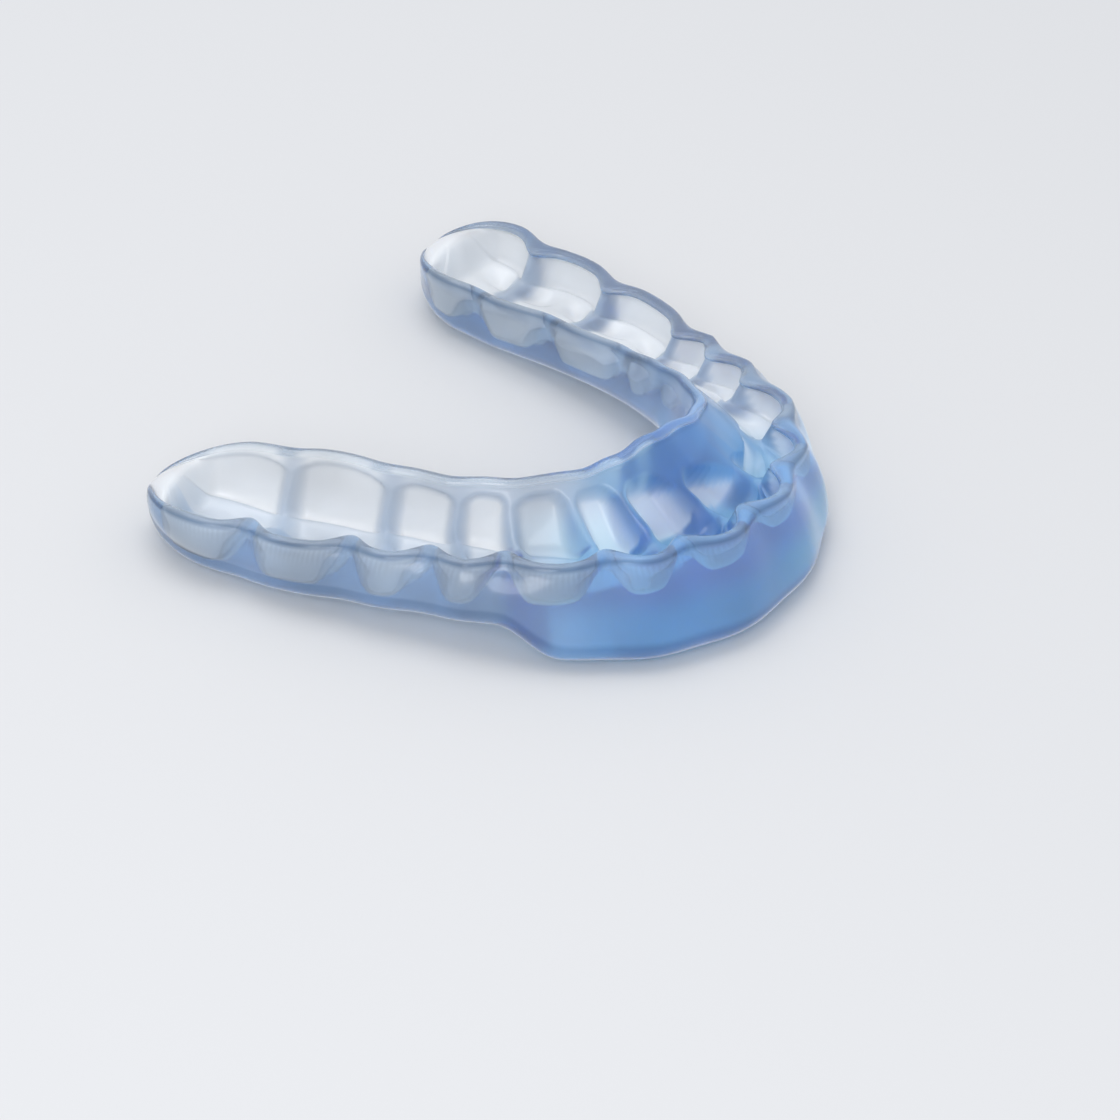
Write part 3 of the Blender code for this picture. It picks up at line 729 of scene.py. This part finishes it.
def tinted(nodes, links, coordinates):
    """Colour of the surface on the arms, the front, the ramp and the ramp's shoulders, with painted
    light and shade on the arms and the front.
    """
    split = nodes.new("ShaderNodeSeparateXYZ")
    links.new(coordinates.outputs["Object"], split.inputs["Vector"])
    ramp = ranged(nodes, links, split.outputs["Z"], (WALL_FROM, RAMP_TO), (0.0, 1.0), "SMOOTHSTEP")
    front_outside = blended(nodes, links, ramp, FRONT_WALL_TINT, RAMP_TINT)
    shoulder = calculated(nodes, links, "MULTIPLY", ramp, attribute(nodes, "shoulder"))
    arms_outside = blended(nodes, links, shoulder, OUTSIDE_TINT, SHOULDER_TINT)
    arms = tints_with_painted_light_and_shade(nodes, links, arms_outside, PAINTED_LIGHT_CROWN_TINT, PAINTED_SHADE_SEPTUM_TINT)
    front = tints_with_painted_light_and_shade(nodes, links, front_outside, FRONT_PAINTED_LIGHT_CROWN_TINT, FRONT_PAINTED_SHADE_SEPTUM_TINT)
    tint = blended(nodes, links, attribute(nodes, "front"), arms, front)
    return clouded(nodes, links, coordinates, tint)


def resin():
    """Pale blue translucent resin: clear where it is thin and deep blue where it is thick."""
    material = bpy.data.materials.new("resin_clear")
    material.use_nodes = True
    nodes, links = material.node_tree.nodes, material.node_tree.links
    coordinates = nodes.new("ShaderNodeTexCoord")
    shader = nodes["Principled BSDF"]
    shader.inputs["IOR"].default_value = RESIN_IOR
    shader.inputs["Coat Weight"].default_value = COAT_WEIGHT
    shader.inputs["Coat Roughness"].default_value = COAT_ROUGHNESS
    # Base colour with painted light on the lobes and painted shade on the septa and lines
    links.new(tinted(nodes, links, coordinates), shader.inputs["Base Color"])
    # Less transmission where light is painted on the lobes, so they show whiter; rougher lining
    # inside
    for socket, tone, values in (
            ("Transmission Weight", "crown", (RESIN_TRANSMISSION, PAINTED_LIGHT_CROWN_TRANSMISSION)),
            ("Roughness", "lining", (RESIN_ROUGHNESS, LINING_ROUGHNESS))):
        value = ranged(nodes, links, attribute(nodes, tone), (0.0, 1.0), values)
        links.new(value, shader.inputs[socket])
    bump = nodes.new("ShaderNodeBump")
    bump.inputs["Strength"].default_value = 1.0
    bump.inputs["Distance"].default_value = RIPPLE_DEPTH
    ripple = noise(nodes, links, coordinates, RIPPLE_SCALE, RIPPLE_DETAIL)
    links.new(ripple, bump.inputs["Height"])
    links.new(bump.outputs["Normal"], shader.inputs["Normal"])
    volume = nodes.new("ShaderNodeVolumeAbsorption")
    volume.inputs["Color"].default_value = RESIN_DEPTH_COLOUR
    volume.inputs["Density"].default_value = RESIN_DEPTH_DENSITY
    links.new(volume.outputs["Volume"], nodes["Material Output"].inputs["Volume"])
    return material


def aligner():
    """The whole tray, lofted through sections along the arch."""
    arch = Arch()
    teeth = tooth_edges()
    rings, shares = [], []
    for s in ring_places():
        outline, tones = section(arch, teeth, s)
        rings.append([arch.point(s, out, up) for out, up in outline])
        shoulder = math.exp(-((abs(s) - SHOULDER_AT) / SHOULDER_REACH) ** 2)
        front = smooth((FRONT_LENGTH - abs(s)) / FRONT_FADE)
        for crown, septum, line, lining, stria in tones:
            on_arch = (shoulder * (1.0 - lining), front, s)
            shares.append((crown, septum, line, lining, stria) + on_arch)
    vertices, faces = loft(rings)
    names = SECTION_TONES + ARCH_TONES
    shares += [(0.0,) * len(names)] * (len(vertices) - len(shares))
    mesh = bpy.data.meshes.new("aligner_resin")
    mesh.from_pydata(fitted(vertices).tolist(), [], faces)
    mesh.materials.append(resin())
    mesh.shade_smooth()
    for name, row in zip(names, zip(*shares)):
        mesh.attributes.new(name, "FLOAT", "POINT").data.foreach_set("value", row)
    body = bpy.data.objects.new("aligner_resin", mesh)
    bpy.context.scene.collection.objects.link(body)
    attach(body, "root")
    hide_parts("aligner")


def camera():
    """Camera at the photograph's angle, aimed with its roll."""
    back = Vector((math.sin(CAMERA_AZIMUTH) * math.cos(CAMERA_ELEVATION),
                   -math.cos(CAMERA_AZIMUTH) * math.cos(CAMERA_ELEVATION),
                   math.sin(CAMERA_ELEVATION)))
    level = (-back).cross(Vector((0.0, 0.0, 1.0))).normalized()
    above = level.cross(-back)
    right = math.cos(CAMERA_ROLL) * level + math.sin(CAMERA_ROLL) * above
    up = math.cos(CAMERA_ROLL) * above - math.sin(CAMERA_ROLL) * level
    data = bpy.data.cameras.new("camera")
    data.sensor_width = SENSOR_WIDTH
    data.lens = FOCAL_PIXELS / PHOTO_PIXELS * SENSOR_WIDTH
    data.clip_start = CAMERA_CLIP_START
    holder = bpy.data.objects.new("camera", data)
    holder.matrix_world = Matrix((right, up, back)).transposed().to_4x4()
    holder.location = Vector(CAMERA_TARGET) + back * CAMERA_DISTANCE
    bpy.context.scene.collection.objects.link(holder)
    bpy.context.scene.camera = holder


def through_or_mirrored(nodes, links):
    """1 for a ray that comes through the resin or off its gloss, else 0."""
    path = nodes.new("ShaderNodeLightPath")
    glossy, through = path.outputs["Is Glossy Ray"], path.outputs["Is Transmission Ray"]
    return calculated(nodes, links, "MAXIMUM", glossy, through)


def floor():
    """Wide pale table under the tray, which looks like the backdrop through the resin."""
    half = FLOOR_HALF_WIDTH
    corners = [(-half, -half, 0.0), (half, -half, 0.0), (half, half, 0.0), (-half, half, 0.0)]
    mesh = bpy.data.meshes.new("floor")
    mesh.from_pydata(corners, [], [(0, 1, 2, 3)])
    material = bpy.data.materials.new("floor")
    material.use_nodes = True
    nodes, links = material.node_tree.nodes, material.node_tree.links
    shader = nodes["Principled BSDF"]
    shader.inputs["Base Color"].default_value = FLOOR_COLOUR
    shader.inputs["Roughness"].default_value = FLOOR_ROUGHNESS
    shader.inputs["Specular IOR Level"].default_value = 0.0
    seen_through = nodes.new("ShaderNodeEmission")
    seen_through.inputs["Color"].default_value = BACKDROP_COLOUR
    blend = nodes.new("ShaderNodeMixShader")
    links.new(through_or_mirrored(nodes, links), blend.inputs["Fac"])
    links.new(shader.outputs["BSDF"], blend.inputs[1])
    links.new(seen_through.outputs["Emission"], blend.inputs[2])
    links.new(blend.outputs["Shader"], nodes["Material Output"].inputs["Surface"])
    mesh.materials.append(material)
    table = bpy.data.objects.new("floor", mesh)
    table.location = (0.0, 0.0, cad_low[2] - FLOOR_GAP)
    bpy.context.scene.collection.objects.link(table)


def lamp(name, place, size, power):
    """Soft round lamp, aimed at the middle of the tray."""
    data = bpy.data.lights.new(name, "AREA")
    data.shape = "DISK"
    data.size = size
    data.energy = power
    holder = bpy.data.objects.new(name, data)
    holder.location = place
    holder.rotation_mode = "QUATERNION"
    aim = Vector(LAMP_TARGET) - Vector(place)
    holder.rotation_quaternion = aim.to_track_quat("-Z", "Y")
    bpy.context.scene.collection.objects.link(holder)


def sky():
    """Even pale surroundings, with the backdrop's colour in gloss and through the resin."""
    world = bpy.data.worlds.new("studio")
    bpy.context.scene.world = world
    world.use_nodes = True
    nodes, links = world.node_tree.nodes, world.node_tree.links
    light = nodes["Background"]
    light.inputs["Color"].default_value = SKY_COLOUR
    light.inputs["Strength"].default_value = SKY_STRENGTH
    seen = nodes.new("ShaderNodeBackground")
    seen.inputs["Color"].default_value = BACKDROP_COLOUR
    blend = nodes.new("ShaderNodeMixShader")
    links.new(through_or_mirrored(nodes, links), blend.inputs["Fac"])
    links.new(light.outputs["Background"], blend.inputs[1])
    links.new(seen.outputs["Background"], blend.inputs[2])
    links.new(blend.outputs["Shader"], nodes["World Output"].inputs["Surface"])


camera()
floor()
sky()
lamp("overhead", *OVERHEAD_LAMP)
lamp("side", *SIDE_LAMP)
aligner()

bpy.context.scene.view_settings.view_transform = "Standard"
